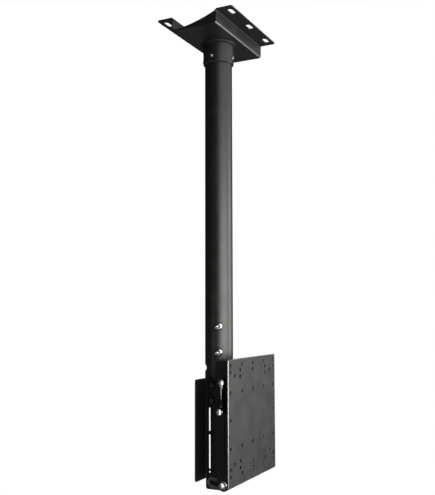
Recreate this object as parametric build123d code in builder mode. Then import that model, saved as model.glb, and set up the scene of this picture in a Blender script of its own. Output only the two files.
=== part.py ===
import os
from math import cos, radians, sin

from build123d import *

# Folded sheet
sheet = 3.0
bend_inside = 1.5
corner_round = 4.0

# Ceiling plate, a folded hat with its flanges on the ceiling
plate_length = 217.4
crown_width = 98.6
crown_drop = 28.8
flange_width = 33.3
slot_pitch = 84.0
slot_spread = 142.0
slot_length = 26.0
slot_width = 10.0
cable_bore = 42.0
tab_reach = 84.0
tab_sag = 3.2

# Pole and the collar that holds it
pole_od = 56.0
pole_wall = 2.75
pole_length = 645.7
collar_wall = 3.5
collar_length = 44.8
collar_chamfer = 2.5
weld_leg = 5.0
collar_screw_d = 6.0
collar_screw_rise = 13.6
collar_screw_proud = 4.0
collar_screw_key = 3.0
collar_screw_key_depth = 2.5

# Clamp bolts low on the pole
clamp_angle = 205.0
clamp_rise = 14.7
clamp_pitch = 50.4
boss_d = 17.0
boss_height = 4.0
groove_depth = 1.6

# Stem that turns in the pole, with its cable slot at the back
swivel_gap = 0.6
spigot_wall = 3.0
spigot_rise = 85.0
spigot_seat = 8.0
stem_length = 88.3
cable_slot_drop = 16.0
cable_slot_length = 45.0
cable_slot_height = 12.5

# Hanger, a folded hat round the stem that is open at the back
hanger_drop = 35.4
hanger_height = 191.5
hanger_nose_height = 159.6
hanger_nose = 16.5
hanger_rear = 16.5
hanger_reach = 71.7
hanger_bolt_rise = 10.0
hanger_bolt_pitch = 30.0
tie_slot_width = 4.0
tie_slot_y = 5.7
tie_slot_drop = 56.6
tie_slot_upper = 45.0
tie_slot_lower = 66.0
tie_bridge = 6.0
tie_hole_bridge = 3.5
toe_rise = 13.0
toe_drop = 11.4

# Tilt pivot and lock
pivot_offset = 26.5
pivot_drop = 8.0
lock_radius = 139.5
tilt_angle_max = 10.0
slot_angle_margin = 0.8
slot_angle_down = -90.0
sleeve_d = 12.0
sleeve_shoulder_d = 18.0
sleeve_shoulder = 1.8
disc_d = 26.0
disc_thickness = 2.0
pad_radius = 10.0

# Screen plate and the channel behind it
screen_reach = 73.9
plate_thickness = 3.0
plate_width = 222.0
plate_above = 111.0
plate_below = 119.5
plate_corner = 3.0
grid_drop = 8.0
plate_hole_d = 6.4
plate_hole_grids = [
    (200, 200), (100, 200), (200, 100), (100, 100), (0, 200), (0, 100),
    (200, 0), (200, 175), (0, 175), (117, 180), (117, 155), (165, 160),
]
ear_depth = 61.2
ear_top_inset = 7.0
ear_leg_width = 31.0
ear_end_radius = 12.0
web_height = 178.0
web_notch_width = 44.0
web_notch_depth = 30.0
bead_width = 7.0
bead_height = 1.2
bead_inset = 18.0

# Levelling screws that carry the screen on its pivot sleeves
level_boss_d = 14.0
level_boss_height = 13.0
level_boss_rise = 11.0
level_travel = 3.0
level_screw_length = 44.0
level_paddle_d = 13.4
level_paddle_rise = 4.2
level_paddle = 5.0

# Fasteners
bolt_d = 8.0
bolt_flats = 13.0
bolt_head = 5.3
bolt_chamfer = 0.7
nut_height = 6.5
washer_d = 16.0
washer_thickness = 1.6
bolt_run_out = 2.0

# Clearances
snug = 0.05
running = 0.08
bolt_room = 0.2
lock_room = 0.4
tip_gap = 0.3
hanger_room = 0.3
side_gap = 0.2

# Heights and reaches worked out from the sizes above
pole_r = pole_od / 2
pole_bore_r = pole_r - pole_wall
collar_r = pole_r + snug + collar_wall
spigot_r = pole_bore_r - running
pole_bottom = -crown_drop - pole_length
clamp_heights = [pole_bottom + clamp_rise, pole_bottom + clamp_rise + clamp_pitch]
collar_screw_z = collar_screw_rise - crown_drop - collar_length
stem_top = pole_bottom - swivel_gap
stem_bottom = stem_top - stem_length
cable_slot_z = stem_top - cable_slot_drop
hanger_in = pole_r + hanger_room
hanger_out = hanger_in + sheet
hanger_top = stem_top - hanger_drop
hanger_bottom = hanger_top - hanger_height
hanger_front = pivot_offset + hanger_nose
hanger_bolt_heights = [stem_bottom + hanger_bolt_rise, stem_bottom + hanger_bolt_rise + hanger_bolt_pitch]
pivot_y = -pivot_offset
pivot_z = stem_bottom - pivot_drop
lock_z = pivot_z - lock_radius
ear_in = hanger_out + disc_thickness + side_gap
ear_out = ear_in + sheet
plate_front = -screen_reach
plate_back = plate_front + plate_thickness
grid_z = pivot_z - grid_drop
plate_top = grid_z + plate_above
ear_rear = plate_back + ear_depth
ear_top = plate_top - ear_top_inset
web_bottom = ear_top - web_height
level_x = ear_out + level_boss_d / 2
sleeve_out = level_x + bolt_d / 2 + side_gap
bend_middle = bend_inside + sheet / 2
bolt_hole_r = bolt_d / 2 + bolt_room
lift = (Align.CENTER, Align.CENTER, Align.MIN)


def radial_plane(angle, reach, z):
    outward = Vector(cos(radians(angle)), sin(radians(angle)), 0)
    return Plane(origin=outward * reach + Vector(0, 0, z), x_dir=(0, 0, 1), z_dir=outward)


def side_plane(side, reach, y, z):
    return Plane(origin=(side * reach, y, z), x_dir=(0, 1, 0), z_dir=(side, 0, 0))


def both_sides(reach, y, z):
    return [side_plane(side, reach, y, z) for side in (-1, 1)]


def clamp_planes(reach):
    return [radial_plane(clamp_angle, reach, z) for z in clamp_heights]


def plate_holes():
    for spacing_x, spacing_z in plate_hole_grids:
        with GridLocations(spacing_x, spacing_z, 2 if spacing_x else 1, 2 if spacing_z else 1):
            Circle(plate_hole_d / 2)


def hex_bolt(length):
    with BuildPart() as bolt:
        with BuildSketch():
            RegularPolygon(bolt_flats / 2, 6, major_radius=False)
        extrude(amount=bolt_head)
        chamfer(bolt.faces().sort_by(Axis.Z)[-1].edges(), bolt_chamfer)
        with BuildSketch():
            Circle(bolt_d / 2)
        extrude(amount=-length)
    return bolt.part


def thumb_screw(length):
    with BuildPart() as screw:
        with BuildSketch(Plane.YZ):
            with Locations((0, level_paddle_rise)):
                Circle(level_paddle_d / 2)
        extrude(amount=level_paddle / 2, both=True)
        chamfer(screw.edges().filter_by(GeomType.CIRCLE), bolt_chamfer)
        with BuildSketch():
            Circle(bolt_d / 2)
        extrude(amount=-length)
    return screw.part


def set_screw(length):
    with BuildPart() as screw:
        with BuildSketch():
            Circle(collar_screw_d / 2)
        extrude(amount=length)
        with BuildSketch(Plane.XY.offset(length)):
            RegularPolygon(collar_screw_key / 2, 6, major_radius=False)
        extrude(amount=-collar_screw_key_depth, mode=Mode.SUBTRACT)
    return screw.part


def hex_nut():
    with BuildPart() as nut:
        with BuildSketch():
            RegularPolygon(bolt_flats / 2, 6, major_radius=False)
            Circle(bolt_d / 2 + snug, mode=Mode.SUBTRACT)
        extrude(amount=nut_height)
    return nut.part


def ring(outer_r, inner_r, thickness):
    with BuildPart() as washer:
        with BuildSketch():
            Circle(outer_r)
            Circle(inner_r, mode=Mode.SUBTRACT)
        extrude(amount=thickness)
    return washer.part


def save(builder, node):
    builder.part.label = node
    export_step(builder.part, f"parts/{node}.step")


os.makedirs("parts", exist_ok=True)

# Ceiling plate, with a tab folded across each open end
half_crown = (crown_width - sheet) / 2
half_plate = crown_width / 2 + flange_width
hat_line = [
    (-half_plate, -sheet / 2), (-half_crown, -sheet / 2), (-half_crown, sheet / 2 - crown_drop),
    (half_crown, sheet / 2 - crown_drop), (half_crown, -sheet / 2), (half_plate, -sheet / 2),
]
tab_top = (-half_crown, -bend_middle)
tab_heel = (-half_crown, sheet - crown_drop)
tab_toe = (tab_reach - half_crown, sheet - crown_drop)
with BuildPart() as ceiling_plate:
    with BuildSketch(Plane.YZ.offset(-plate_length / 2)):
        with BuildLine():
            FilletPolyline(*hat_line, radius=bend_middle)
        trace(line_width=sheet)
    extrude(amount=plate_length)
    flange_corners = ceiling_plate.edges().filter_by(Axis.Z).filter_by(lambda e: e.length < sheet + snug)
    fillet(flange_corners, corner_round)
    with BuildSketch():
        with GridLocations(slot_pitch, slot_spread, 3, 2):
            SlotOverall(slot_length, slot_width)
    extrude(amount=-sheet, mode=Mode.SUBTRACT)
    with BuildSketch(Plane.XY.offset(-crown_drop)):
        Circle(cable_bore / 2)
    extrude(amount=sheet, mode=Mode.SUBTRACT)
    for side in (-1, 1):
        with BuildSketch(Plane((side * plate_length / 2, 0, 0), (0, -side, 0), (-side, 0, 0))):
            with BuildLine():
                Polyline(tab_top, tab_heel, tab_toe)
                SagittaArc(tab_toe, tab_top, tab_sag)
            make_face()
        extrude(amount=sheet)
save(ceiling_plate, "ceiling_plate")

# Collar, its weld and the set screws that grip the pole
screw_angles = [0, 90, 180, 270]
with BuildPart() as pole_collar:
    with BuildSketch(Plane.XY.offset(-crown_drop)):
        Circle(collar_r)
        Circle(pole_r + snug, mode=Mode.SUBTRACT)
    extrude(amount=-collar_length)
    chamfer(pole_collar.faces().sort_by(Axis.Z)[0].edges().sort_by(SortBy.LENGTH)[-1], collar_chamfer)
    with Locations(*[radial_plane(angle, pole_r, collar_screw_z) for angle in screw_angles]):
        Cylinder(collar_screw_d / 2 + snug, 2 * collar_wall, align=lift, mode=Mode.SUBTRACT)
save(pole_collar, "pole_collar")

weld_root = (collar_r + snug, -crown_drop)
weld_out = (collar_r + weld_leg, -crown_drop)
weld_down = (collar_r + snug, -crown_drop - weld_leg)
with BuildPart() as collar_weld:
    with BuildSketch(Plane.XZ):
        with BuildLine():
            Polyline(weld_down, weld_root, weld_out)
            SagittaArc(weld_out, weld_down, weld_leg / 8)
        make_face()
    revolve(axis=Axis.Z)
save(collar_weld, "collar_weld")

collar_screw = set_screw(collar_wall + collar_screw_proud)
with BuildPart() as collar_screws:
    with Locations(*[radial_plane(angle, pole_r + snug, collar_screw_z) for angle in screw_angles]):
        add(collar_screw)
save(collar_screws, "collar_screws")

# Pole, with two clamp bolts in welded bosses
with BuildPart() as pole_tube:
    with BuildSketch(Plane.XY.offset(-crown_drop)):
        Circle(pole_r)
        Circle(pole_bore_r, mode=Mode.SUBTRACT)
    extrude(amount=-pole_length)
    with Locations(*clamp_planes(0)):
        Cylinder(bolt_d / 2 + snug, pole_od, align=lift, mode=Mode.SUBTRACT)
save(pole_tube, "pole_tube")

with BuildPart() as pole_bosses:
    with Locations(*clamp_planes(pole_r / 2)):
        Cylinder(boss_d / 2, pole_r / 2 + boss_height, align=lift)
        Cylinder(bolt_d / 2 + snug, pole_r, align=lift, mode=Mode.SUBTRACT)
    with BuildSketch(Plane.XY.offset(pole_bottom)):
        Circle(pole_r + snug)
    extrude(amount=pole_length, mode=Mode.SUBTRACT)
save(pole_bosses, "pole_bosses")

clamp_seat = pole_r + boss_height
clamp_bolt = hex_bolt(clamp_seat - spigot_r - tip_gap)
retaining_bolt = hex_bolt(clamp_seat - spigot_r - tip_gap + groove_depth)
with BuildPart() as pole_bolts:
    with Locations(clamp_planes(clamp_seat)[0]):
        add(clamp_bolt)
    with Locations(clamp_planes(clamp_seat)[1]):
        add(retaining_bolt)
save(pole_bolts, "pole_bolts")

# Spigot, turning in the pole and grooved for the upper bolt's tip
with BuildPart() as spigot_tube:
    with BuildSketch(Plane.XY.offset(stem_top - spigot_seat)):
        Circle(spigot_r)
        Circle(spigot_r - spigot_wall, mode=Mode.SUBTRACT)
    extrude(amount=spigot_seat + spigot_rise)
    with BuildSketch(Plane.XY.offset(clamp_heights[1] - bolt_d / 2 - tip_gap)):
        Circle(pole_bore_r)
        Circle(spigot_r - groove_depth, mode=Mode.SUBTRACT)
    extrude(amount=bolt_d + 2 * tip_gap, mode=Mode.SUBTRACT)
save(spigot_tube, "spigot_tube")

# Stem tube, with the cable slot at its back
with BuildPart() as stem_tube:
    with BuildSketch(Plane.XY.offset(stem_top)):
        Circle(pole_r)
        Circle(pole_bore_r, mode=Mode.SUBTRACT)
    extrude(amount=-stem_length)
    with BuildSketch(Plane.XZ):
        with Locations((0, cable_slot_z)):
            SlotOverall(cable_slot_length, cable_slot_height)
    extrude(amount=-pole_od, mode=Mode.SUBTRACT)
    with BuildSketch(Plane.YZ):
        with Locations(*[(0, z) for z in hanger_bolt_heights]):
            Circle(bolt_hole_r)
    extrude(amount=pole_od, both=True, mode=Mode.SUBTRACT)
save(stem_tube, "stem_tube")

# Hanger, whose toes carry lock slots concentric with the tilt pivot
hanger_middle = hanger_in + sheet / 2
hanger_line = [
    (-hanger_reach, hanger_rear - sheet / 2), (-hanger_middle, hanger_rear - sheet / 2),
    (-hanger_middle, sheet / 2 - hanger_front), (hanger_middle, sheet / 2 - hanger_front),
    (hanger_middle, hanger_rear - sheet / 2), (hanger_reach, hanger_rear - sheet / 2),
]
lock_arc = CenterArc(
    (pivot_y, pivot_z), lock_radius, slot_angle_down - slot_angle_margin, tilt_angle_max + 2 * slot_angle_margin
)
lock_slot_width = bolt_d + 2 * lock_room
upper_tie_z = hanger_top - tie_slot_drop - tie_slot_upper / 2
lower_tie_z = upper_tie_z - tie_slot_upper / 2 - tie_bridge - tie_slot_lower / 2
tie_hole_z = lower_tie_z - tie_slot_lower / 2 - tie_hole_bridge - tie_slot_width / 2
toe_front = sheet + bend_inside - hanger_front
toe_rear = hanger_rear - sheet
with BuildPart() as hanger_bracket:
    with BuildSketch(Plane.XY.offset(hanger_bottom)):
        with BuildLine():
            FilletPolyline(*hanger_line, radius=bend_middle)
        trace(line_width=sheet)
    extrude(amount=hanger_height)
    wing_corners = hanger_bracket.edges().filter_by(Axis.Y).filter_by(lambda e: e.length < sheet + snug)
    fillet(wing_corners, corner_round)
    with BuildSketch(Plane.XY.offset(hanger_bottom)):
        with Locations((0, -hanger_front)):
            Rectangle(2 * hanger_out, 2 * (sheet + bend_inside))
    extrude(amount=hanger_height - hanger_nose_height, mode=Mode.SUBTRACT)
    for wall_x in (-hanger_out, hanger_in):
        with BuildSketch(Plane.YZ.offset(wall_x)) as toe:
            with Locations((toe_front, lock_z - toe_drop)):
                Rectangle(toe_rear - toe_front, toe_drop + toe_rise, align=(Align.MIN, Align.MIN))
            fillet(toe.vertices().group_by(Axis.Y)[0].sort_by(Axis.X)[-1], corner_round)
            fillet(toe.vertices().group_by(Axis.Y)[0].sort_by(Axis.X)[0], toe_drop)
        extrude(amount=sheet)
    with BuildSketch(Plane.YZ):
        SlotArc(lock_arc, lock_slot_width)
        with Locations((pivot_y, pivot_z), *[(0, z) for z in hanger_bolt_heights]):
            Circle(bolt_hole_r)
        with Locations((tie_slot_y, upper_tie_z)):
            SlotOverall(tie_slot_upper, tie_slot_width, rotation=90)
        with Locations((tie_slot_y, lower_tie_z)):
            SlotOverall(tie_slot_lower, tie_slot_width, rotation=90)
        with Locations((tie_slot_y, tie_hole_z)):
            Circle(tie_slot_width / 2)
    extrude(amount=hanger_out, both=True, mode=Mode.SUBTRACT)
save(hanger_bracket, "hanger_bracket")

# Through bolts that hold the hanger on the stem
hanger_seat = hanger_out + washer_thickness
hanger_bolt = hex_bolt(2 * hanger_seat + nut_height + bolt_run_out)
nut = hex_nut()
washer = ring(washer_d / 2, bolt_hole_r, washer_thickness)
with BuildPart() as hanger_bolts:
    with Locations(*[side_plane(-1, hanger_seat, 0, z) for z in hanger_bolt_heights]):
        add(hanger_bolt)
save(hanger_bolts, "hanger_bolts")

with BuildPart() as hanger_washers:
    for z in hanger_bolt_heights:
        with Locations(*both_sides(hanger_out, 0, z)):
            add(washer)
save(hanger_washers, "hanger_washers")

with BuildPart() as hanger_nuts:
    with Locations(*[side_plane(1, hanger_seat, 0, z) for z in hanger_bolt_heights]):
        add(nut)
save(hanger_nuts, "hanger_nuts")

# Tilt pivots on the hanger: a shouldered sleeve, a friction disc and a bolt on each side
with BuildPart() as sleeve:
    with BuildSketch():
        Circle(sleeve_d / 2)
    extrude(amount=sleeve_out - hanger_out)
    with BuildSketch(Plane.XY.offset(ear_out + side_gap - hanger_out)):
        Circle(sleeve_shoulder_d / 2)
    extrude(amount=sleeve_shoulder)
    Hole(bolt_d / 2 + snug)
with BuildPart() as pivot_sleeves:
    with Locations(*both_sides(hanger_out, pivot_y, pivot_z)):
        add(sleeve.part)
save(pivot_sleeves, "pivot_sleeves")

disc = ring(disc_d / 2, sleeve_d / 2 + snug, disc_thickness)
with BuildPart() as pivot_discs:
    with Locations(*both_sides(hanger_out, pivot_y, pivot_z)):
        add(disc)
save(pivot_discs, "pivot_discs")

with BuildPart() as pivot_washers:
    with Locations(*both_sides(sleeve_out, pivot_y, pivot_z)):
        add(washer)
save(pivot_washers, "pivot_washers")

pivot_seat = sleeve_out + washer_thickness
pivot_bolt = hex_bolt(pivot_seat - hanger_in + nut_height + bolt_run_out)
with BuildPart() as pivot_bolts:
    with Locations(*both_sides(pivot_seat, pivot_y, pivot_z)):
        add(pivot_bolt)
save(pivot_bolts, "pivot_bolts")

with BuildPart() as pivot_nuts:
    with Locations(*both_sides(hanger_in - nut_height, pivot_y, pivot_z)):
        add(nut)
save(pivot_nuts, "pivot_nuts")

# Slide pads round the lock slots
with BuildPart() as tilt_pads:
    for pad_x in (-hanger_out - disc_thickness, hanger_out):
        with BuildSketch(Plane.YZ.offset(pad_x)):
            SlotArc(lock_arc, 2 * pad_radius)
            SlotArc(lock_arc, lock_slot_width, mode=Mode.SUBTRACT)
        extrude(amount=disc_thickness)
save(tilt_pads, "tilt_pads")

# Tilt channel behind the screen plate
ear_middle = ear_in + sheet / 2
channel_line = [
    (-ear_middle, ear_rear), (-ear_middle, plate_back + sheet / 2),
    (ear_middle, plate_back + sheet / 2), (ear_middle, ear_rear),
]
channel_height = ear_top - lock_z + ear_end_radius
level_slot_width = sleeve_d + 2 * running
bead_length = lock_radius - 2 * bead_inset
with BuildPart() as tilt_bracket:
    with BuildSketch(Plane.XY.offset(ear_top)):
        with BuildLine():
            FilletPolyline(*channel_line, radius=bend_middle)
        trace(line_width=sheet)
    extrude(amount=-channel_height)
    with BuildSketch(Plane.YZ) as ear_outline:
        with Locations((pivot_y, lock_z)):
            Circle(ear_end_radius)
        with Locations((ear_rear, pivot_z)):
            Rectangle(ear_leg_width, pivot_z - web_bottom, align=(Align.MAX, Align.MAX))
        make_hull()
        with Locations((ear_rear, ear_top)):
            Rectangle(ear_depth, web_height, align=(Align.MAX, Align.MAX))
        fillet(ear_outline.vertices().group_by(Axis.Y)[-1].sort_by(Axis.X)[-1], ear_end_radius)
    extrude(amount=ear_out, both=True, mode=Mode.INTERSECT)
    with BuildSketch(Plane.YZ):
        with Locations((pivot_y, lock_z)):
            Circle(bolt_hole_r)
        with Locations((pivot_y, pivot_z)):
            SlotOverall(level_slot_width + 2 * level_travel, level_slot_width, rotation=90)
    extrude(amount=ear_out, both=True, mode=Mode.SUBTRACT)
    for side in (-1, 1):
        with BuildSketch(side_plane(side, ear_out, pivot_y, pivot_z - lock_radius / 2)):
            SlotOverall(bead_length, bead_width, rotation=90)
        extrude(amount=bead_height)
        with BuildSketch(side_plane(side, ear_in, pivot_y, pivot_z - lock_radius / 2)):
            SlotOverall(bead_length - 2 * bead_height, bead_width - 2 * bead_height, rotation=90)
        extrude(amount=bead_height, mode=Mode.SUBTRACT)
    with BuildSketch(Plane.XZ.offset(-plate_back)):
        with Locations((0, ear_top)):
            Rectangle(web_notch_width, 2 * web_notch_depth)
        with Locations((0, grid_z)):
            plate_holes()
    extrude(amount=-sheet, mode=Mode.SUBTRACT)
save(tilt_bracket, "tilt_bracket")

# Screen plate with its hole grids
with BuildPart() as vesa_plate:
    with BuildSketch(Plane.XZ.offset(-plate_front)):
        with Locations((0, grid_z + (plate_above - plate_below) / 2)):
            RectangleRounded(plate_width, plate_above + plate_below, plate_corner)
    extrude(amount=-plate_thickness)
    with BuildSketch(Plane.XZ.offset(-plate_front)):
        with Locations((0, grid_z)):
            plate_holes()
    extrude(amount=-plate_thickness, mode=Mode.SUBTRACT)
save(vesa_plate, "vesa_plate")

# Levelling screws in bosses on the ears, bearing on the pivot sleeves
with BuildPart() as levelling_bosses:
    with BuildSketch(Plane.XY.offset(pivot_z + level_boss_rise)):
        for side in (-1, 1):
            with Locations((side * level_x, pivot_y)):
                Circle(level_boss_d / 2)
            with Locations((side * (ear_out + level_boss_d / 4), pivot_y)):
                Rectangle(level_boss_d / 2, level_boss_d)
            with Locations((side * level_x, pivot_y)):
                Circle(bolt_d / 2 + snug, mode=Mode.SUBTRACT)
    extrude(amount=level_boss_height)
save(levelling_bosses, "levelling_bosses")

level_screw = thumb_screw(level_screw_length)
level_seat = pivot_z + sleeve_d / 2 + tip_gap + level_screw_length
with BuildPart() as levelling_screws:
    with Locations((-level_x, pivot_y, level_seat), (level_x, pivot_y, level_seat)):
        add(level_screw)
save(levelling_screws, "levelling_screws")

# Lock bolts that ride with the ears in the hanger's slots, with cover plates behind the slots
lock_seat = ear_out + washer_thickness
lock_inside = hanger_in - side_gap - washer_thickness
lock_bolt = hex_bolt(lock_seat - lock_inside + nut_height + bolt_run_out)
with BuildPart() as lock_bolts:
    with Locations(*both_sides(lock_seat, pivot_y, lock_z)):
        add(lock_bolt)
save(lock_bolts, "lock_bolts")

with BuildPart() as lock_washers:
    with Locations(*both_sides(ear_out, pivot_y, lock_z)):
        add(washer)
save(lock_washers, "lock_washers")

cover_arc = CenterArc((pivot_y, pivot_z), lock_radius, slot_angle_down, tilt_angle_max)
with BuildPart() as lock_plates:
    for plate_x in (-lock_inside - washer_thickness, lock_inside):
        with BuildSketch(Plane.YZ.offset(plate_x)):
            SlotArc(cover_arc, washer_d)
            with Locations((pivot_y, lock_z)):
                Circle(bolt_hole_r, mode=Mode.SUBTRACT)
        extrude(amount=washer_thickness)
save(lock_plates, "lock_plates")

with BuildPart() as lock_nuts:
    with Locations(*both_sides(lock_inside - nut_height, pivot_y, lock_z)):
        add(nut)
save(lock_nuts, "lock_nuts")
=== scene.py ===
import math

import bmesh
import bpy
from mathutils import Matrix, Vector, noise


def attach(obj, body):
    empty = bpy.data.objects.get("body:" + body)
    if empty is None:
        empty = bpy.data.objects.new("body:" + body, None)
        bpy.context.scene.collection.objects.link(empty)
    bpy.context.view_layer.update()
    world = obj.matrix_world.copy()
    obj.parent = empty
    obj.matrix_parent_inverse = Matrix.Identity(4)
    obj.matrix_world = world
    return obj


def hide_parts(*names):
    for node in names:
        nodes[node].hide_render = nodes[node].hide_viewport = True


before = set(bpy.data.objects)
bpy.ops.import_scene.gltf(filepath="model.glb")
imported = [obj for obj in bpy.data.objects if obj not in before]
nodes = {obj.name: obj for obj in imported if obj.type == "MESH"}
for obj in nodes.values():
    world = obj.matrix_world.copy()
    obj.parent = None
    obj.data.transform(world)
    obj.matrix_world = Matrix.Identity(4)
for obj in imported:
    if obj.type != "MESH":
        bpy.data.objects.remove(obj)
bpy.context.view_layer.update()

scene = bpy.context.scene
scene.view_settings.view_transform = "Standard"
mm = 0.001
print("frame loaded:", len(nodes), "nodes")


# finishes

def startGroup(name, inputs, outputs):
    group = bpy.data.node_groups.new(name, "ShaderNodeTree")
    for label, kind, value in inputs:
        socket = group.interface.new_socket(name=label, in_out="INPUT", socket_type=kind)
        socket.default_value = value
    for label, kind in outputs:
        group.interface.new_socket(name=label, in_out="OUTPUT", socket_type=kind)
    return group, group.nodes.new("NodeGroupInput"), group.nodes.new("NodeGroupOutput")


def addMath(tree, operation):
    node = tree.nodes.new("ShaderNodeMath")
    node.operation = operation
    return node


def makeGrainGroup():
    # fine grain, slow patches and a height for the bump, shared by every finish
    group, source, result = startGroup(
        "surfaceGrain",
        [("Vector", "NodeSocketVector", (0, 0, 0)), ("Grain", "NodeSocketFloat", 1000.0),
         ("Patch", "NodeSocketFloat", 40.0), ("Pits", "NodeSocketFloat", 0.3)],
        [("Grain", "NodeSocketFloat"), ("Patch", "NodeSocketFloat"), ("Height", "NodeSocketFloat")])
    fine = group.nodes.new("ShaderNodeTexNoise")
    fine.inputs["Detail"].default_value = 3.0
    slow = group.nodes.new("ShaderNodeTexNoise")
    slow.inputs["Detail"].default_value = 2.0
    cells = group.nodes.new("ShaderNodeTexVoronoi")
    cells.feature = "SMOOTH_F1"
    pitted = addMath(group, "MULTIPLY")
    total = addMath(group, "ADD")
    link = group.links.new
    for texture, size in ((fine, "Grain"), (slow, "Patch"), (cells, "Grain")):
        link(source.outputs["Vector"], texture.inputs["Vector"])
        link(source.outputs[size], texture.inputs["Scale"])
    link(cells.outputs["Distance"], pitted.inputs[0])
    link(source.outputs["Pits"], pitted.inputs[1])
    link(fine.outputs["Fac"], total.inputs[0])
    link(pitted.outputs[0], total.inputs[1])
    link(fine.outputs["Fac"], result.inputs["Grain"])
    link(slow.outputs["Fac"], result.inputs["Patch"])
    link(total.outputs[0], result.inputs["Height"])
    return group


def makeToneGroup():
    # carries two tones and two roughnesses over the patches, with some grain on top
    group, source, result = startGroup(
        "toneOverPatches",
        [("Grain", "NodeSocketFloat", 0.5), ("Patch", "NodeSocketFloat", 0.5),
         ("Dark", "NodeSocketColor", (0, 0, 0, 1)), ("Light", "NodeSocketColor", (1, 1, 1, 1)),
         ("Smooth", "NodeSocketFloat", 0.4), ("Rough", "NodeSocketFloat", 0.6)],
        [("Color", "NodeSocketColor"), ("Roughness", "NodeSocketFloat")])
    grainShare = 0.4
    darkBelow, lightAbove = 0.45, 0.95
    mean = addMath(group, "MULTIPLY_ADD")
    mean.inputs[1].default_value = grainShare
    spread = group.nodes.new("ShaderNodeMapRange")
    spread.inputs["From Min"].default_value = darkBelow
    spread.inputs["From Max"].default_value = lightAbove
    blend = group.nodes.new("ShaderNodeMix")
    blend.data_type = "RGBA"
    rough = group.nodes.new("ShaderNodeMapRange")
    link = group.links.new
    link(source.outputs["Grain"], mean.inputs[0])
    link(source.outputs["Patch"], mean.inputs[2])
    link(mean.outputs[0], spread.inputs["Value"])
    link(spread.outputs["Result"], blend.inputs["Factor"])
    link(source.outputs["Dark"], blend.inputs["A"])
    link(source.outputs["Light"], blend.inputs["B"])
    link(spread.outputs["Result"], rough.inputs["Value"])
    link(source.outputs["Smooth"], rough.inputs["To Min"])
    link(source.outputs["Rough"], rough.inputs["To Max"])
    link(blend.outputs["Result"], result.inputs["Color"])
    link(rough.outputs["Result"], result.inputs["Roughness"])
    return group


def makeHighlightRimGroup():
    # 1 on the rim round a face that looks along -Y, where a steel strip is painted in as the edge highlight
    group, source, result = startGroup(
        "paintedHighlightRim",
        [("Vector", "NodeSocketVector", (0, 0, 0)), ("Middle", "NodeSocketVector", (0, 0, 0)),
         ("Half Width", "NodeSocketFloat", 1.0), ("Half Height", "NodeSocketFloat", 1.0),
         ("Depth", "NodeSocketFloat", 0.001), ("Soft", "NodeSocketFloat", 0.0003)],
        [("Mask", "NodeSocketFloat")])
    offset = group.nodes.new("ShaderNodeVectorMath")
    offset.operation = "SUBTRACT"
    size = group.nodes.new("ShaderNodeVectorMath")
    size.operation = "ABSOLUTE"
    parts = group.nodes.new("ShaderNodeSeparateXYZ")
    across = addMath(group, "SUBTRACT")
    upward = addMath(group, "SUBTRACT")
    nearest = addMath(group, "MINIMUM")
    away = addMath(group, "ABSOLUTE")
    reach = addMath(group, "ADD")
    inner = addMath(group, "SUBTRACT")
    rim = group.nodes.new("ShaderNodeMapRange")
    rim.interpolation_type = "SMOOTHSTEP"
    rim.inputs["To Min"].default_value = 1.0
    rim.inputs["To Max"].default_value = 0.0
    link = group.links.new
    link(source.outputs["Vector"], offset.inputs[0])
    link(source.outputs["Middle"], offset.inputs[1])
    link(offset.outputs["Vector"], size.inputs[0])
    link(size.outputs["Vector"], parts.inputs[0])
    link(source.outputs["Half Width"], across.inputs[0])
    link(parts.outputs["X"], across.inputs[1])
    link(source.outputs["Half Height"], upward.inputs[0])
    link(parts.outputs["Z"], upward.inputs[1])
    link(across.outputs[0], nearest.inputs[0])
    link(upward.outputs[0], nearest.inputs[1])
    link(nearest.outputs[0], away.inputs[0])
    link(away.outputs[0], reach.inputs[0])
    link(parts.outputs["Y"], reach.inputs[1])
    link(source.outputs["Depth"], inner.inputs[0])
    link(source.outputs["Soft"], inner.inputs[1])
    link(reach.outputs[0], rim.inputs["Value"])
    link(inner.outputs[0], rim.inputs["From Min"])
    link(source.outputs["Depth"], rim.inputs["From Max"])
    link(rim.outputs["Result"], result.inputs["Mask"])
    return group


grainGroup = makeGrainGroup()
toneGroup = makeToneGroup()
highlightRimGroup = makeHighlightRimGroup()


def makeFinish(name, look):
    material = bpy.data.materials.new(name)
    material.use_nodes = True
    tree = material.node_tree
    shader = tree.nodes["Principled BSDF"]
    shader.inputs["Metallic"].default_value = look["metal"]
    shader.inputs["Specular IOR Level"].default_value = look["specular"]
    place = tree.nodes.new("ShaderNodeTexCoord")
    grain = tree.nodes.new("ShaderNodeGroup")
    grain.node_tree = grainGroup
    for label in ("Grain", "Patch", "Pits"):
        grain.inputs[label].default_value = look[label]
    tone = tree.nodes.new("ShaderNodeGroup")
    tone.node_tree = toneGroup
    for label in ("Dark", "Light", "Smooth", "Rough"):
        tone.inputs[label].default_value = look[label]
    bump = tree.nodes.new("ShaderNodeBump")
    bump.inputs["Strength"].default_value = look["bump"]
    bump.inputs["Distance"].default_value = look["depth"]
    link = tree.links.new
    link(place.outputs["Object"], grain.inputs["Vector"])
    link(grain.outputs["Grain"], tone.inputs["Grain"])
    link(grain.outputs["Patch"], tone.inputs["Patch"])
    link(grain.outputs["Height"], bump.inputs["Height"])
    link(tone.outputs["Color"], shader.inputs["Base Color"])
    link(tone.outputs["Roughness"], shader.inputs["Roughness"])
    link(bump.outputs["Normal"], shader.inputs["Normal"])
    return material


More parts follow.
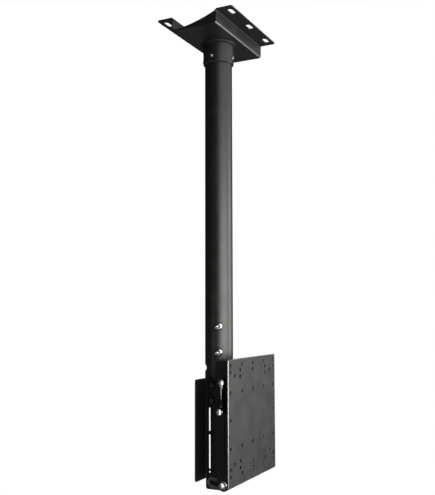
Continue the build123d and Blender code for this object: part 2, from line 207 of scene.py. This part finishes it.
def paintRimHighlight(material, rim):
    # painted highlight: a bright steel strip on the rim stands in for the light the edge catches
    tree = material.node_tree
    shader = tree.nodes["Principled BSDF"]
    place = tree.nodes.new("ShaderNodeTexCoord")
    parts = tree.nodes.new("ShaderNodeSeparateXYZ")
    turned = tree.nodes.new("ShaderNodeCombineXYZ")
    mask = tree.nodes.new("ShaderNodeGroup")
    mask.node_tree = highlightRimGroup
    for label in ("Middle", "Half Width", "Half Height", "Depth", "Soft"):
        mask.inputs[label].default_value = rim[label]
    highlightTone = tree.nodes.new("ShaderNodeMix")
    highlightTone.data_type = "RGBA"
    highlightTone.inputs["B"].default_value = rim["highlightSteel"]
    smooth = tree.nodes.new("ShaderNodeMix")
    smooth.inputs["B"].default_value = rim["roughness"]
    link = tree.links.new
    link(shader.inputs["Base Color"].links[0].from_socket, highlightTone.inputs["A"])
    link(shader.inputs["Roughness"].links[0].from_socket, smooth.inputs["A"])
    link(place.outputs["Object"], parts.inputs[0])
    for index, axis in enumerate(rim["axes"]):
        link(parts.outputs[axis], turned.inputs[index])
    link(turned.outputs[0], mask.inputs["Vector"])
    link(mask.outputs["Mask"], highlightTone.inputs["Factor"])
    link(mask.outputs["Mask"], smooth.inputs["Factor"])
    link(mask.outputs["Mask"], shader.inputs["Metallic"])
    link(highlightTone.outputs["Result"], shader.inputs["Base Color"])
    link(smooth.outputs["Result"], shader.inputs["Roughness"])


coatLook = {  # black powder coat with a fine texture
    "Dark": (0.01, 0.01, 0.0105, 1), "Light": (0.017, 0.017, 0.0175, 1), "Smooth": 0.33, "Rough": 0.43,
    "metal": 0.0, "specular": 0.75, "Grain": 420.0, "Patch": 30.0, "Pits": 0.5,
    "bump": 0.6, "depth": 0.2 * mm,
}
zincLook = {  # bright plated steel, a little cloudy
    "Dark": (0.66, 0.67, 0.69, 1), "Light": (0.87, 0.86, 0.83, 1), "Smooth": 0.1, "Rough": 0.18,
    "metal": 1.0, "specular": 0.5, "Grain": 1500.0, "Patch": 260.0, "Pits": 0.2,
    "bump": 0.12, "depth": 0.05 * mm,
}
oxideLook = {  # blackened steel, oily in patches
    "Dark": (0.012, 0.012, 0.013, 1), "Light": (0.045, 0.043, 0.042, 1), "Smooth": 0.3, "Rough": 0.48,
    "metal": 0.6, "specular": 0.5, "Grain": 1500.0, "Patch": 220.0, "Pits": 0.3,
    "bump": 0.15, "depth": 0.05 * mm,
}
nylonLook = {  # grey moulded slide pads
    "Dark": (0.08, 0.08, 0.08, 1), "Light": (0.13, 0.13, 0.128, 1), "Smooth": 0.42, "Rough": 0.55,
    "metal": 0.0, "specular": 0.4, "Grain": 700.0, "Patch": 90.0, "Pits": 0.2,
    "bump": 0.2, "depth": 0.06 * mm,
}
flatShadedLook = {  # flatter on the brackets and the weld; its darker tone is painted shade
    **coatLook, "Dark": (0.006, 0.006, 0.0065, 1), "Light": (0.011, 0.011, 0.0115, 1),
    "Smooth": 0.52, "Rough": 0.64, "specular": 0.5,
}
coat = makeFinish("powderCoat", coatLook)
flatShadedCoat = makeFinish("mattCoatPaintedShade", flatShadedLook)
zinc = makeFinish("zincPlate", zincLook)
oxide = makeFinish("blackOxide", oxideLook)
nylon = makeFinish("greyNylon", nylonLook)
# the screen plate's front rim carries a painted highlight: a steel strip where the cut edge catches the
# light
plateHighlightCoat = makeFinish("plateCoatPaintedHighlight", coatLook)
plateHighlightRim = {"Middle": (0, -73.9 * mm, -783.65 * mm), "Half Width": 111 * mm, "Half Height": 115.25 * mm,
            "Depth": 0.95 * mm, "Soft": 0.15 * mm, "axes": "XYZ",
            "highlightSteel": (0.58, 0.56, 0.52, 1), "roughness": 0.3}
paintRimHighlight(plateHighlightCoat, plateHighlightRim)
# the ceiling plate's crown bends carry a painted highlight: a steel strip along each bend
hatHighlightCoat = makeFinish("hatCoatPaintedHighlight", coatLook)
hatHighlightRim = {"Middle": (0, -28.8 * mm, 0), "Half Width": 49.3 * mm, "Half Height": 1.0,
          "Depth": 2.95 * mm, "Soft": 0.25 * mm, "axes": "YZX",
          "highlightSteel": (0.6, 0.585, 0.56, 1), "roughness": 0.36}
paintRimHighlight(hatHighlightCoat, hatHighlightRim)


# shared ways of making pieces

mergeReach = 0.001 * mm
sharpAngle = 38  # degrees, where shading breaks
foldAngle = 40  # degrees, from which an edge is rounded
flatAngle = 1  # degrees, within which triangles join into one face


def addPiece(bm, name, spec, finish):
    mesh = bpy.data.meshes.new(name)
    bm.to_mesh(mesh)
    bm.free()
    mesh.materials.append(finish)
    mesh.shade_smooth()
    mesh.set_sharp_from_angle(angle=math.radians(spec.get("sharp", sharpAngle)))
    piece = bpy.data.objects.new(name, mesh)
    scene.collection.objects.link(piece)
    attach(piece, spec["body"])
    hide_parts(spec["node"])
    return piece


def nearSliver(edge, spec):
    # steps on both sides of the part that are thinner than the rounding
    spots = [Vector((abs(vert.co.x), vert.co.y, vert.co.z)) for vert in edge.verts]
    return any((spot - Vector(sliver)).length < spec["sliverReach"]
               for spot in spots for sliver in spec.get("slivers", ()))


def roundEdges(name, spec, finish):
    # the node's own shape, with its cut edges softened as paint and tumbling leave them
    copied = nodes[spec["node"]].data.copy()
    copied.attributes.remove(copied.attributes["custom_normal"])
    copied.materials.clear()
    bm = bmesh.new()
    bm.from_mesh(copied)
    bpy.data.meshes.remove(copied)
    bmesh.ops.remove_doubles(bm, verts=bm.verts, dist=mergeReach)
    bmesh.ops.dissolve_limit(bm, angle_limit=math.radians(flatAngle), verts=bm.verts, edges=bm.edges)
    weights = bm.edges.layers.float.new("bevel_weight_edge")
    for edge in bm.edges:
        folded = len(edge.link_faces) == 2 and edge.calc_face_angle() > math.radians(foldAngle)
        edge[weights] = float(folded and not nearSliver(edge, spec))
    piece = addPiece(bm, name, spec, finish)
    bevel = piece.modifiers.new("softEdge", "BEVEL")
    bevel.limit_method = "WEIGHT"
    bevel.width = spec["edge"]
    bevel.segments = spec["steps"]
    bevel.use_clamp_overlap = False
    bevel.harden_normals = True


def turnProfile(bm, points, steps, closed=False):
    # points are radius and height, spun about Z
    verts = [bm.verts.new((radius, 0, height)) for radius, height in points]
    pairs = list(zip(verts, verts[1:])) + ([(verts[-1], verts[0])] if closed else [])
    edges = [bm.edges.new(pair) for pair in pairs]
    bmesh.ops.spin(bm, geom=verts + edges, cent=(0, 0, 0), axis=(0, 0, 1), angle=2 * math.pi,
                   steps=steps, use_merge=True)
    bmesh.ops.remove_doubles(bm, verts=bm.verts, dist=mergeReach)
    bmesh.ops.recalc_face_normals(bm, faces=bm.faces)


def joinInto(whole, part, places=(Matrix(),)):
    # adds a copy of the part at each place and lets the part go
    source = bpy.data.meshes.new("fastenerPart")
    part.to_mesh(source)
    part.free()
    for place in places:
        start = len(whole.verts)
        whole.from_mesh(source)
        whole.verts.ensure_lookup_table()
        bmesh.ops.transform(whole, matrix=place, verts=whole.verts[start:])
    bpy.data.meshes.remove(source)


def addFasteners(name, spec, part, places, finish):
    # one piece of a fastener's copies at all its places
    whole = bmesh.new()
    joinInto(whole, part, places)
    addPiece(whole, name, spec, finish)


def pickVerts(grown):
    return [item for item in grown["geom"] if isinstance(item, bmesh.types.BMVert)]


def radialPlace(angle, reach, height):
    out = Vector((math.cos(math.radians(angle)), math.sin(math.radians(angle)), 0))
    side = out.cross(Vector((0, 0, 1)))
    turn = Matrix((Vector((0, 0, 1)), side, out)).transposed().to_4x4()
    return Matrix.Translation(out * reach + Vector((0, 0, height))) @ turn


def sidePlace(side, reach, y, height):
    turn = Matrix(((0, 1, 0), (0, 0, side), (side, 0, 0))).transposed().to_4x4()
    return Matrix.Translation((side * reach, y, height)) @ turn


def bothSides(reach, y, height):
    return [sidePlace(-1, reach, y, height), sidePlace(1, reach, y, height)]


fastener = {"flats": 13 * mm, "headHeight": 5.3 * mm, "nutHeight": 6.5 * mm, "nutRoom": 0.05 * mm,
            "shank": 4 * mm, "pitch": 1.25 * mm, "domeSag": 0.3 * mm,
            "washerOuter": 8 * mm, "washerInner": 4.2 * mm, "washerThick": 1.6 * mm, "washerSoft": 0.3 * mm}
thread = {"root": 0.62, "core": 0.55, "foot": 0.44, "crest": 0.07,  # shares of the pitch
          "tip": 0.8, "neckSlope": 0.5, "neckGap": 0.4}
threadSteps = 20
shankSteps = 32
washerSteps = 48
shankLap = 0.5 * mm  # how far a shank runs into its head
cornerCuts = 7
crownShare = 0.95
crownSlope = 30  # degrees, the cone that turns a hexagon's corners down
crownInset = 0.04  # shares of the flats, before the rings are moved to their radius
boreInset = 0.02
endFacing = 0.9
domeRings = 6


def setRadius(verts, radius):
    # moves points straight in or out to one radius
    for vert in verts:
        vert.co.xy = vert.co.xy.normalized() * radius


def crownHex(bm, cap, flats, down):
    # turns the corners of a hexagon's end down to a cone and leaves a round land
    outline = list(cap.verts)
    bmesh.ops.inset_individual(bm, faces=[cap], thickness=crownInset * flats)
    land = flats / 2 * crownShare
    setRadius(cap.verts, land)
    slope = math.tan(math.radians(crownSlope))
    for vert in outline:
        vert.co.z -= down * (vert.co.xy.length - land) * slope
    return outline


def domeHead(bm, cap, outline, sag):
    # a forged head is convex: its rim drops and rings of faces rise to the middle
    top = cap.verts[0].co.z
    land = cap.verts[0].co.xy.length
    for vert in outline + list(cap.verts):
        vert.co.z -= sag
    for ring in range(1, domeRings):
        bmesh.ops.inset_individual(bm, faces=[cap], thickness=land / domeRings / 2)
        share = 1 - ring / domeRings
        setRadius(cap.verts, land * share)
        for vert in cap.verts:
            vert.co.z = top - sag * share * share


def dishHead(bm, cap, outline, sag, dish):
    # a cold-formed head: its rim drops and a round dish is pressed into its middle
    top = cap.verts[0].co.z
    for vert in outline + list(cap.verts):
        vert.co.z -= sag
    for ring in range(domeRings):
        bmesh.ops.inset_individual(bm, faces=[cap], thickness=dish["radius"] / domeRings / 2)
        share = 1 - ring / domeRings
        setRadius(cap.verts, dish["radius"] * share)
        for vert in cap.verts:
            vert.co.z = top - dish["depth"] * (1 - share * share)


def hexSolid(height, flats, bore, dish=None):
    # a bored nut, or a bolt's head that is domed or dished
    bm = bmesh.new()
    bmesh.ops.create_circle(bm, cap_ends=True, segments=6, radius=flats / 2 / math.cos(math.pi / 6))
    bmesh.ops.rotate(bm, cent=(0, 0, 0), matrix=Matrix.Rotation(math.pi / 6, 3, "Z"), verts=bm.verts)
    bmesh.ops.subdivide_edges(bm, edges=bm.edges, cuts=cornerCuts)
    grown = bmesh.ops.extrude_face_region(bm, geom=bm.faces[:])
    bmesh.ops.translate(bm, verts=pickVerts(grown), vec=(0, 0, height))
    bmesh.ops.recalc_face_normals(bm, faces=bm.faces)
    ends = [face for face in bm.faces if abs(face.normal.z) > endFacing]
    caps = sorted(ends, key=lambda face: face.calc_center_median().z)
    outline = crownHex(bm, caps[1], flats, 1)
    if dish:
        dishHead(bm, caps[1], outline, fastener["domeSag"], dish)
    elif not bore:
        domeHead(bm, caps[1], outline, fastener["domeSag"])
    else:
        crownHex(bm, caps[0], flats, -1)
        for cap in caps:
            bmesh.ops.inset_individual(bm, faces=[cap], thickness=boreInset * flats)
            setRadius(cap.verts, bore)
        rims = [edge for cap in caps for edge in cap.edges]
        bmesh.ops.delete(bm, geom=caps, context="FACES_ONLY")
        bmesh.ops.bridge_loops(bm, edges=rims)
        bmesh.ops.recalc_face_normals(bm, faces=bm.faces)
    return bm


def threadRidge(radius, pitch, low, high):
    # a closed ridge carried round the shank as a right-hand helix
    bm = bmesh.new()
    root = radius - thread["root"] * pitch
    foot, crest = thread["foot"], thread["crest"]
    section = [(root, -foot), (radius, -crest), (radius, crest), (root, foot)]
    face = bm.faces.new([bm.verts.new((reach, 0, low + offset * pitch)) for reach, offset in section])
    turns = (high - low) / pitch
    steps = int(turns * threadSteps)
    bmesh.ops.spin(bm, geom=face.verts[:] + face.edges[:] + [face], cent=(0, 0, 0), axis=(0, 0, 1),
                   dvec=(0, 0, (high - low) / steps), angle=2 * math.pi * turns, steps=steps)
    bmesh.ops.recalc_face_normals(bm, faces=bm.faces)
    return bm


def threadedShank(bm, radius, pitch, length, plain):
    # plain neck under the head, then a rolled thread with a chamfered tip
    root = radius - thread["core"] * pitch
    tip = thread["tip"] * pitch
    core = bmesh.new()
    neck = -plain - thread["neckSlope"] * pitch
    points = [(0, shankLap), (radius, shankLap), (radius, -plain), (root, neck),
              (root, -length + tip), (root - tip / 2, -length), (0, -length)]
    turnProfile(core, points, shankSteps)
    joinInto(bm, core)
    joinInto(bm, threadRidge(radius, pitch, -length + tip, -plain - thread["neckGap"] * pitch))


def hexBolt(length, plain, dish=None):
    bm = bmesh.new()
    joinInto(bm, hexSolid(fastener["headHeight"], fastener["flats"], 0, dish))
    threadedShank(bm, fastener["shank"], fastener["pitch"], length, plain)
    return bm


def hexNut():
    return hexSolid(fastener["nutHeight"], fastener["flats"], fastener["shank"] + fastener["nutRoom"])


def plainWasher():
    bm = bmesh.new()
    inner, outer = fastener["washerInner"], fastener["washerOuter"]
    thick, soft = fastener["washerThick"], fastener["washerSoft"]
    points = [(inner + soft, 0), (outer - soft, 0), (outer, soft), (outer, thick - soft),
              (outer - soft, thick), (inner + soft, thick), (inner, thick - soft), (inner, soft)]
    turnProfile(bm, points, washerSteps, closed=True)
    return bm


socketInset = 0.2 * mm


def sinkSocket(bm, cap, key, depth):
    # a hexagon key socket in the middle of a round face
    bmesh.ops.inset_individual(bm, faces=[cap], thickness=socketInset)
    for vert in cap.verts:
        angle = math.atan2(vert.co.y, vert.co.x) % (math.pi / 3) - math.pi / 6
        setRadius([vert], key / 2 / math.cos(angle))
    grown = bmesh.ops.extrude_face_region(bm, geom=[cap])
    bmesh.ops.delete(bm, geom=[cap], context="FACES_ONLY")
    bmesh.ops.translate(bm, verts=pickVerts(grown), vec=(0, 0, -depth))


# ceiling side

ceilingPlate = {"node": "ceiling_plate", "body": "ceiling", "edge": 0.6 * mm, "steps": 3}
roundEdges("ceilingPlate", ceilingPlate, hatHighlightCoat)

poleCollar = {"node": "pole_collar", "body": "ceiling", "edge": 0.5 * mm, "steps": 2}
roundEdges("poleCollar", poleCollar, coat)

poleTube = {"node": "pole_tube", "body": "ceiling", "edge": 0.5 * mm, "steps": 2}
roundEdges("poleTube", poleTube, coat)

poleBosses = {"node": "pole_bosses", "body": "ceiling", "edge": 0.5 * mm, "steps": 2}
roundEdges("poleBosses", poleBosses, coat)

collarWeld = {"node": "collar_weld", "body": "ceiling", "radius": 31.6 * mm, "top": -28.8 * mm,
              "leg": 4.6 * mm, "bulge": ((0.28, 0.86), (0.58, 0.58), (0.86, 0.28)),  # shares of the leg
              "ripples": 46, "rippleHeight": 0.32 * mm, "trail": 0.35, "wander": 0.25 * mm,
              "driftTurns": 3, "swell": 2.2, "steps": 368, "sharp": 50}


def makeWeld(spec):
    # a fillet of weld, with the ripples that the torch leaves
    bm = bmesh.new()
    radius, top, leg = spec["radius"], spec["top"], spec["leg"]
    bulge = [(radius + out * leg, top - down * leg) for out, down in spec["bulge"]]
    points = [(radius, top), (radius, top - leg), *bulge, (radius + leg, top)]
    turnProfile(bm, points, spec["steps"], closed=True)
    for vert in bm.verts:
        around = math.atan2(vert.co.y, vert.co.x)
        out = Vector((vert.co.x, vert.co.y, 0)).normalized()
        depth = min(vert.co.xy.length - radius, top - vert.co.z) / leg  # 0 at the feet
        lean = spec["trail"] * (top - vert.co.z) / leg  # ripples trail behind the torch
        ripple = abs(math.sin(spec["ripples"] / 2 * around + lean * math.pi))
        drift = noise.noise(out * spec["driftTurns"])
        swell = depth * (spec["rippleHeight"] * ripple + spec["wander"] * drift) * spec["swell"]
        vert.co += (out + Vector((0, 0, -1))).normalized() * swell
    addPiece(bm, "collarWeld", spec, flatShadedCoat)


makeWeld(collarWeld)

collarScrews = {"node": "collar_screws", "body": "ceiling", "reach": 28.05 * mm, "height": -60 * mm,
                "angles": (0, 90, 180, 270), "length": 7.5 * mm, "radius": 3 * mm, "pitch": 1 * mm,
                "threadInset": 0.9 * mm, "key": 3 * mm, "keyDepth": 2.5 * mm, "steps": 48}


def makeCollarScrews(spec):
    screw = bmesh.new()
    root = spec["radius"] - thread["core"] * spec["pitch"]
    inset = spec["threadInset"]
    core = bmesh.new()
    bmesh.ops.create_circle(core, cap_ends=True, segments=spec["steps"], radius=root)
    grown = bmesh.ops.extrude_face_region(core, geom=core.faces[:])
    bmesh.ops.translate(core, verts=pickVerts(grown), vec=(0, 0, spec["length"]))
    bmesh.ops.recalc_face_normals(core, faces=core.faces)
    cap = max(core.faces, key=lambda face: face.calc_center_median().z)
    sinkSocket(core, cap, spec["key"], spec["keyDepth"])
    bmesh.ops.recalc_face_normals(core, faces=core.faces)
    joinInto(screw, core)
    joinInto(screw, threadRidge(spec["radius"], spec["pitch"], inset, spec["length"] - inset))
    places = [radialPlace(angle, spec["reach"], spec["height"]) for angle in spec["angles"]]
    addFasteners("collarScrews", spec, screw, places, zinc)


makeCollarScrews(collarScrews)

poleBolts = {"node": "pole_bolts", "body": "ceiling", "angle": 205, "reach": 32 * mm,
             "heights": (-659.8 * mm, -609.4 * mm), "lengths": (6.53 * mm, 8.13 * mm),
             "plain": 0.5 * mm, "dish": {"radius": 3.6 * mm, "depth": 1.7 * mm}}
bolts = bmesh.new()
for boltHeight, boltLength in zip(poleBolts["heights"], poleBolts["lengths"]):
    bolt = hexBolt(boltLength, poleBolts["plain"], poleBolts["dish"])
    joinInto(bolts, bolt, [radialPlace(poleBolts["angle"], poleBolts["reach"], boltHeight)])
addPiece(bolts, "poleBolts", poleBolts, zinc)
print("ceiling side done")


# turning head

stemTube = {"node": "stem_tube", "body": "head", "edge": 0.5 * mm, "steps": 2}
roundEdges("stemTube", stemTube, coat)

hangerBracket = {"node": "hanger_bracket", "body": "head", "edge": 0.5 * mm, "steps": 3,
                 "slivers": ((28.4 * mm, 12.75 * mm, -897.9 * mm), (31.3 * mm, 13 * mm, -902 * mm)),
                 "sliverReach": 1.2 * mm}
roundEdges("hangerBracket", hangerBracket, flatShadedCoat)

hangerHeights = (-753.4 * mm, -723.4 * mm)

hangerBolts = {"node": "hanger_bolts", "body": "head", "reach": 32.9 * mm,
               "length": 74.3 * mm, "plain": 50 * mm}
bolt = hexBolt(hangerBolts["length"], hangerBolts["plain"])
places = [sidePlace(-1, hangerBolts["reach"], 0, height) for height in hangerHeights]
addFasteners("hangerBolts", hangerBolts, bolt, places, oxide)

hangerWashers = {"node": "hanger_washers", "body": "head", "reach": 31.3 * mm}
places = [place for height in hangerHeights for place in bothSides(hangerWashers["reach"], 0, height)]
addFasteners("hangerWashers", hangerWashers, plainWasher(), places, oxide)

hangerNuts = {"node": "hanger_nuts", "body": "head", "reach": 32.9 * mm}
places = [sidePlace(1, hangerNuts["reach"], 0, height) for height in hangerHeights]
addFasteners("hangerNuts", hangerNuts, hexNut(), places, oxide)

pivotSleeves = {"node": "pivot_sleeves", "body": "head", "edge": 0.4 * mm, "steps": 2}
roundEdges("pivotSleeves", pivotSleeves, oxide)

pivotDiscs = {"node": "pivot_discs", "body": "head", "edge": 0.3 * mm, "steps": 2}
roundEdges("pivotDiscs", pivotDiscs, nylon)

pivotY = -26.5 * mm
pivotHeight = -771.4 * mm

pivotWashers = {"node": "pivot_washers", "body": "head", "reach": 47.7 * mm}
places = bothSides(pivotWashers["reach"], pivotY, pivotHeight)
addFasteners("pivotWashers", pivotWashers, plainWasher(), places, oxide)

pivotBolts = {"node": "pivot_bolts", "body": "head", "reach": 49.3 * mm,
              "length": 29.5 * mm, "plain": 14 * mm}
bolt = hexBolt(pivotBolts["length"], pivotBolts["plain"])
addFasteners("pivotBolts", pivotBolts, bolt, bothSides(pivotBolts["reach"], pivotY, pivotHeight), zinc)

pivotNuts = {"node": "pivot_nuts", "body": "head", "reach": 21.8 * mm}
addFasteners("pivotNuts", pivotNuts, hexNut(), bothSides(pivotNuts["reach"], pivotY, pivotHeight), zinc)

tiltPads = {"node": "tilt_pads", "body": "head", "edge": 0.3 * mm, "steps": 2}
roundEdges("tiltPads", tiltPads, nylon)

spigotTube = {"node": "spigot_tube"}  # hidden in the pole but for its lower rim
nodes[spigotTube["node"]].material_slots[0].material = coat
print("turning head done")


# tilting screen side

tiltBracket = {"node": "tilt_bracket", "body": "screen", "edge": 0.5 * mm, "steps": 3}
roundEdges("tiltBracket", tiltBracket, flatShadedCoat)

vesaPlate = {"node": "vesa_plate", "body": "screen", "edge": 0.8 * mm, "steps": 3}
roundEdges("vesaPlate", vesaPlate, plateHighlightCoat)

levellingBosses = {"node": "levelling_bosses", "body": "screen", "edge": 0.6 * mm, "steps": 2}
roundEdges("levellingBosses", levellingBosses, flatShadedCoat)

levellingScrews = {"node": "levelling_screws", "body": "screen", "reach": 43.5 * mm, "seat": -721.1 * mm,
                   "length": 44 * mm, "neck": 3.4 * mm, "paddleRadius": 6.7 * mm, "paddleRise": 4.2 * mm,
                   "paddleHalf": 2.5 * mm, "rim": 0.7 * mm, "steps": 64}


def makeLevellingScrews(spec):
    # thumb screws: a lens-shaped paddle that stands on a full thread
    half, rim, flat = spec["paddleHalf"], spec["rim"], spec["paddleRadius"] - spec["rim"]
    face = []
    for ring in range(domeRings + 1):
        share = ring / domeRings
        face.append((flat * share, half - fastener["domeSag"] * share * share))
    edge = (spec["paddleRadius"], half - fastener["domeSag"] - rim)
    points = face + [edge] + [(reach, -height) for reach, height in reversed(face + [edge])]
    paddle = bmesh.new()
    turnProfile(paddle, points, spec["steps"])
    screw = bmesh.new()
    upright = Matrix.Translation((0, 0, spec["paddleRise"])) @ Matrix.Rotation(math.pi / 2, 4, "Y")
    joinInto(screw, paddle, [upright])
    shank = bmesh.new()
    threadedShank(shank, fastener["shank"], fastener["pitch"], spec["length"] - shankLap, spec["neck"])
    joinInto(screw, shank, [Matrix.Translation((0, 0, -shankLap))])
    places = [Matrix.Translation((side * spec["reach"], pivotY, spec["seat"])) for side in (-1, 1)]
    addFasteners("levellingScrews", spec, screw, places, zinc)


makeLevellingScrews(levellingScrews)

lockHeight = -910.9 * mm

lockBolts = {"node": "lock_bolts", "body": "screen", "reach": 38.1 * mm,
             "length": 20.1 * mm, "plain": 5 * mm}
bolt = hexBolt(lockBolts["length"], lockBolts["plain"])
addFasteners("lockBolts", lockBolts, bolt, bothSides(lockBolts["reach"], pivotY, lockHeight), zinc)

lockWashers = {"node": "lock_washers", "body": "screen", "reach": 36.5 * mm}
places = bothSides(lockWashers["reach"], pivotY, lockHeight)
addFasteners("lockWashers", lockWashers, plainWasher(), places, zinc)

lockPlates = {"node": "lock_plates", "body": "screen", "edge": 0.3 * mm, "steps": 2}
roundEdges("lockPlates", lockPlates, flatShadedCoat)

lockNuts = {"node": "lock_nuts", "body": "screen", "reach": 20 * mm}
addFasteners("lockNuts", lockNuts, hexNut(), bothSides(lockNuts["reach"], pivotY, lockHeight), zinc)
print("screen side done")


# studio

floorSpec = {"height": -2.3, "half": 20.0, "color": (0.86, 0.86, 0.85, 1), "white": 0.7, "fadeFrom": 0.6,
             "fadeTo": 2.4, "reflected": 0.08}


def backgroundRays(tree):
    # 1 for what the camera, a reflection or glass sees
    rays = tree.nodes.new("ShaderNodeLightPath")
    first = addMath(tree, "MAXIMUM")
    both = addMath(tree, "MAXIMUM")
    tree.links.new(rays.outputs["Is Camera Ray"], first.inputs[0])
    tree.links.new(rays.outputs["Is Glossy Ray"], first.inputs[1])
    tree.links.new(first.outputs[0], both.inputs[0])
    tree.links.new(rays.outputs["Is Transmission Ray"], both.inputs[1])
    return both.outputs[0]


def makeFloor(spec):
    bm = bmesh.new()
    bmesh.ops.create_grid(bm, x_segments=1, y_segments=1, size=spec["half"])
    bmesh.ops.translate(bm, verts=bm.verts, vec=(0, 0, spec["height"]))
    mesh = bpy.data.meshes.new("studioFloor")
    bm.to_mesh(mesh)
    bm.free()
    material = bpy.data.materials.new("paleFloor")
    material.use_nodes = True
    tree = material.node_tree
    tree.nodes.remove(tree.nodes["Principled BSDF"])
    matt = tree.nodes.new("ShaderNodeBsdfDiffuse")
    matt.inputs["Color"].default_value = spec["color"]
    white = tree.nodes.new("ShaderNodeEmission")
    rays = tree.nodes.new("ShaderNodeLightPath")
    level = addMath(tree, "MAXIMUM")
    level.inputs[1].default_value = spec["reflected"]
    place = tree.nodes.new("ShaderNodeTexCoord")
    flat = tree.nodes.new("ShaderNodeVectorMath")
    flat.operation = "MULTIPLY"
    flat.inputs[1].default_value = (1, 1, 0)
    away = tree.nodes.new("ShaderNodeVectorMath")
    away.operation = "LENGTH"
    fade = tree.nodes.new("ShaderNodeMapRange")
    fade.interpolation_type = "SMOOTHSTEP"
    fade.inputs["From Min"].default_value = spec["fadeFrom"]
    fade.inputs["From Max"].default_value = spec["fadeTo"]
    fade.inputs["To Min"].default_value = spec["white"]
    share = addMath(tree, "MULTIPLY")
    mix = tree.nodes.new("ShaderNodeMixShader")
    link = tree.links.new
    link(rays.outputs["Is Camera Ray"], level.inputs[0])
    link(level.outputs[0], white.inputs["Strength"])
    link(place.outputs["Object"], flat.inputs[0])
    link(flat.outputs["Vector"], away.inputs[0])
    link(away.outputs["Value"], fade.inputs["Value"])
    link(fade.outputs["Result"], share.inputs[0])
    link(backgroundRays(tree), share.inputs[1])
    link(share.outputs[0], mix.inputs["Fac"])
    link(matt.outputs["BSDF"], mix.inputs[1])
    link(white.outputs["Emission"], mix.inputs[2])
    link(mix.outputs["Shader"], tree.nodes["Material Output"].inputs["Surface"])
    mesh.materials.append(material)
    floor = bpy.data.objects.new("studioFloor", mesh)
    scene.collection.objects.link(floor)


makeFloor(floorSpec)

worldSpec = {"ambient": 0.1, "brightSide": (0, -0.95, -0.3), "darkSide": 0.02, "lightSide": 0.9,
             "fallFrom": 0.5, "fallTo": 0.2}


def makeWorld(spec):
    # white to the camera; reflections see the room fall off on the side away from the softboxes
    world = bpy.data.worlds.new("studioWorld")
    scene.world = world
    world.use_nodes = True
    tree = world.node_tree
    back = tree.nodes["Background"]
    back.inputs["Color"].default_value = (1, 1, 1, 1)
    rays = tree.nodes.new("ShaderNodeLightPath")
    place = tree.nodes.new("ShaderNodeTexCoord")
    toward = tree.nodes.new("ShaderNodeVectorMath")
    toward.operation = "DOT_PRODUCT"
    toward.inputs[1].default_value = Vector(spec["brightSide"]).normalized()
    fall = tree.nodes.new("ShaderNodeMapRange")
    fall.interpolation_type = "SMOOTHSTEP"
    fall.inputs["From Min"].default_value = spec["fallTo"]
    fall.inputs["From Max"].default_value = spec["fallFrom"]
    fall.inputs["To Min"].default_value = spec["darkSide"]
    fall.inputs["To Max"].default_value = spec["lightSide"]
    seen = addMath(tree, "MAXIMUM")
    level = tree.nodes.new("ShaderNodeMix")
    level.inputs["A"].default_value = spec["ambient"]
    link = tree.links.new
    link(place.outputs["Generated"], toward.inputs[0])
    link(toward.outputs["Value"], fall.inputs["Value"])
    link(fall.outputs["Result"], seen.inputs[0])
    link(rays.outputs["Is Camera Ray"], seen.inputs[1])
    link(backgroundRays(tree), level.inputs["Factor"])
    link(seen.outputs[0], level.inputs["B"])
    link(level.outputs["Result"], back.inputs["Strength"])


makeWorld(worldSpec)

aim = Vector((0, 0, -0.5))
keyBox = {"place": (-0.56, -1.49, -0.6), "size": (1.9, 1.0), "power": 20, "spread": 150,
          "color": (1, 0.93, 0.86)}
sideBox = {"place": (0.95, -1.28, -0.62), "size": (0.6, 1.4), "power": 6, "spread": 130, "color": (1, 1, 1)}
leftSpark = {"place": (-1.5, 0.55, -1.02), "size": (0.24, 0.7), "power": 0.38, "spread": 120,
             "color": (1, 1, 1)}
frontSpark = {"place": (-1.45, -0.76, -0.82), "size": (0.4, 0.8), "power": 0.5, "spread": 120,
              "color": (1, 1, 1)}


def addSoftbox(name, spec):
    light = bpy.data.lights.new(name, "AREA")
    light.shape = "RECTANGLE"
    light.size, light.size_y = spec["size"]
    light.energy = spec["power"]
    light.color = spec["color"]
    light.spread = math.radians(spec["spread"])
    lamp = bpy.data.objects.new(name, light)
    lamp.location = spec["place"]
    lamp.rotation_euler = (aim - lamp.location).to_track_quat("-Z", "Y").to_euler()
    lamp.visible_camera = False
    scene.collection.objects.link(lamp)


addSoftbox("keyBox", keyBox)
addSoftbox("sideBox", sideBox)
addSoftbox("leftSpark", leftSpark)
addSoftbox("frontSpark", frontSpark)

cameraSpec = {"place": (-1.2967, -0.6493, -0.5856), "yaw": 63.29, "pitch": 5.3, "roll": -0.11,
              "lens": 52.25, "sensor": 36.0}


def addCamera(spec):
    data = bpy.data.cameras.new("photoCamera")
    data.lens = spec["lens"]
    data.sensor_width = spec["sensor"]
    camera = bpy.data.objects.new("photoCamera", data)
    turn = (Matrix.Rotation(math.radians(-spec["yaw"]), 4, "Z")
            @ Matrix.Rotation(math.radians(90 + spec["pitch"]), 4, "X")
            @ Matrix.Rotation(math.radians(spec["roll"]), 4, "Z"))
    camera.matrix_world = Matrix.Translation(spec["place"]) @ turn
    scene.collection.objects.link(camera)
    scene.camera = camera


addCamera(cameraSpec)
print("studio ready")
